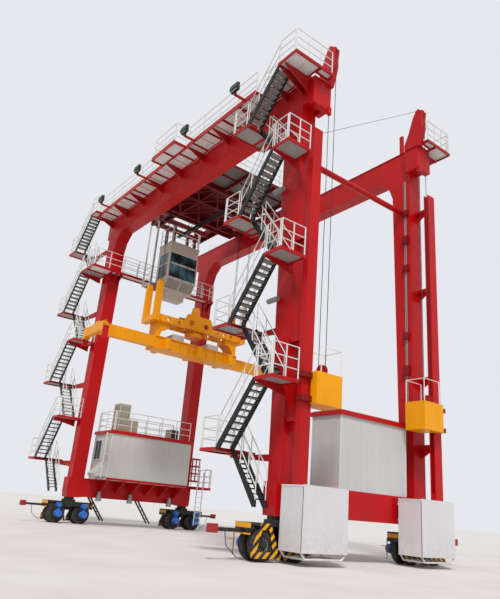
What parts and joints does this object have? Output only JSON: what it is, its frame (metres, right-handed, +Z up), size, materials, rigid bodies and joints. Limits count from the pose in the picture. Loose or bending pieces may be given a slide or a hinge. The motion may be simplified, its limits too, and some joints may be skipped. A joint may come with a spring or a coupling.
{
  "type": "rubber tyred gantry crane",
  "caption": "Rubber tyred gantry crane: a red portal on wheeled bogies, with a trolley, driver's cab, rope-hung telescopic spreader, stairs, machine houses and hanging weights.",
  "frame": {"origin": "the middle of the outline on the ground", "axes": "+X across the stack to the side with the cabinets, +Y along the crane's own travel, +Z up"},
  "size_m": [22.97, 12.62, 20.45],
  "materials": {
    "girders": "gloss red paint",
    "legs": "gloss red paint",
    "sills": "gloss red paint",
    "horns": "gloss red paint",
    "walkways": "red paint with grey grating",
    "walkway_rails": "white paint",
    "stair_flights": "black paint with grey treads",
    "stair_landings": "red paint with grey grating",
    "stair_rails": "white paint",
    "machine_houses": "light grey panels",
    "house_roofs": "red paint",
    "roof_units": "grey paint",
    "cabinets": "white paint",
    "cabinet_frames": "white paint",
    "guide_columns": "red paint",
    "floodlights": "dark green paint",
    "bumper_arms": "black paint",
    "sill_ladders": "black paint",
    "bogie_frames": "dark grey paint",
    "bogie_guards": "yellow and black paint",
    "drive_motors": "blue paint",
    "wheels": "black rubber on a grey rim",
    "trolley_frame": "dark red paint",
    "trolley_machinery": "grey paint",
    "trolley_rails": "white paint",
    "cab_body": "cream paint",
    "cab_glass": "tinted glass",
    "headblock": "yellow paint",
    "spreader_frame": "yellow paint",
    "spreader_arms": "yellow paint",
    "weights": "yellow paint",
    "ropes": "greased steel wire"
  },
  "bodies": {
    "portal": {"girders": "girders", "legs": "legs", "sills": "sills", "horns": "horns", "walkways": "walkways", "walkway_rails": "walkway_rails", "stair_flights": "stair_flights", "stair_landings": "stair_landings", "stair_rails": "stair_rails", "machine_houses": "machine_houses", "house_roofs": "house_roofs", "roof_units": "roof_units", "cabinets": "cabinets", "cabinet_frames": "cabinet_frames", "guide_columns": "guide_columns", "floodlights": "floodlights", "bumper_arms": "bumper_arms", "sill_ladders": "sill_ladders", "bogie_frames": "bogie_frames", "bogie_guards": "bogie_guards", "drive_motors": "drive_motors", "front_live_rope": "ropes", "rear_live_rope": "ropes", "front_dead_rope": "ropes", "rear_dead_rope": "ropes"},
    "trolley": {"trolley_frame": "trolley_frame", "trolley_machinery": "trolley_machinery", "trolley_rails": "trolley_rails", "cab_body": "cab_body", "cab_glass": "cab_glass", "hoist_ropes": "ropes"},
    "spreader": {"headblock": "headblock", "spreader_frame": "spreader_frame"},
    "front_arm": {"spreader_arm_front": "spreader_arms"},
    "rear_arm": {"spreader_arm_rear": "spreader_arms"},
    "front_weight": {"weight_front": "weights"},
    "rear_weight": {"weight_rear": "weights"},
    "near_front_pair_one": {"near_front_wheels_one": "wheels"},
    "near_front_pair_two": {"near_front_wheels_two": "wheels"},
    "near_rear_pair_one": {"near_rear_wheels_one": "wheels"},
    "near_rear_pair_two": {"near_rear_wheels_two": "wheels"},
    "far_front_pair_one": {"far_front_wheels_one": "wheels"},
    "far_front_pair_two": {"far_front_wheels_two": "wheels"},
    "far_rear_pair_one": {"far_rear_wheels_one": "wheels"},
    "far_rear_pair_two": {"far_rear_wheels_two": "wheels"}
  },
  "joints": [
    {"name": "trolley_travel", "type": "slide", "parent": "portal", "child": "trolley", "axis": [1, 0, 0], "range_m": [0, 7.2]},
    {"name": "hoist", "type": "slide", "parent": "trolley", "child": "spreader", "axis": [0, 0, 1], "range_m": [-8.4, 4.2], "deforming": ["hoist_ropes"]},
    {"name": "front_arm_draw", "type": "slide", "parent": "spreader", "child": "front_arm", "axis": [0, 1, 0], "range_m": [0, 3.067]},
    {"name": "rear_arm_draw", "type": "slide", "parent": "spreader", "child": "rear_arm", "axis": [0, 1, 0], "range_m": [-3.067, 0]},
    {"name": "front_weight_lift", "type": "slide", "parent": "portal", "child": "front_weight", "axis": [0, 0, 1], "range_m": [-2.4, 9.2], "deforming": ["front_live_rope", "front_dead_rope"]},
    {"name": "rear_weight_lift", "type": "slide", "parent": "portal", "child": "rear_weight", "axis": [0, 0, 1], "range_m": [-2.4, 9.2], "deforming": ["rear_live_rope", "rear_dead_rope"]},
    {"name": "near_front_roll_one", "type": "hinge", "parent": "portal", "child": "near_front_pair_one", "pos_m": [9.925, -4.42, 0.5], "axis": [1, 0, 0], "continuous": true},
    {"name": "near_front_roll_two", "type": "hinge", "parent": "portal", "child": "near_front_pair_two", "pos_m": [9.925, -2.98, 0.5], "axis": [1, 0, 0], "continuous": true},
    {"name": "near_rear_roll_one", "type": "hinge", "parent": "portal", "child": "near_rear_pair_one", "pos_m": [9.925, 2.98, 0.5], "axis": [1, 0, 0], "continuous": true},
    {"name": "near_rear_roll_two", "type": "hinge", "parent": "portal", "child": "near_rear_pair_two", "pos_m": [9.925, 4.42, 0.5], "axis": [1, 0, 0], "continuous": true},
    {"name": "far_front_roll_one", "type": "hinge", "parent": "portal", "child": "far_front_pair_one", "pos_m": [-7.875, -4.42, 0.5], "axis": [1, 0, 0], "continuous": true},
    {"name": "far_front_roll_two", "type": "hinge", "parent": "portal", "child": "far_front_pair_two", "pos_m": [-7.875, -2.98, 0.5], "axis": [1, 0, 0], "continuous": true},
    {"name": "far_rear_roll_one", "type": "hinge", "parent": "portal", "child": "far_rear_pair_one", "pos_m": [-7.875, 2.98, 0.5], "axis": [1, 0, 0], "continuous": true},
    {"name": "far_rear_roll_two", "type": "hinge", "parent": "portal", "child": "far_rear_pair_two", "pos_m": [-7.875, 4.42, 0.5], "axis": [1, 0, 0], "continuous": true}
  ],
  "couplings": [
    {"joint": "rear_arm_draw", "follows": "front_arm_draw", "ratio": -1}
  ]
}
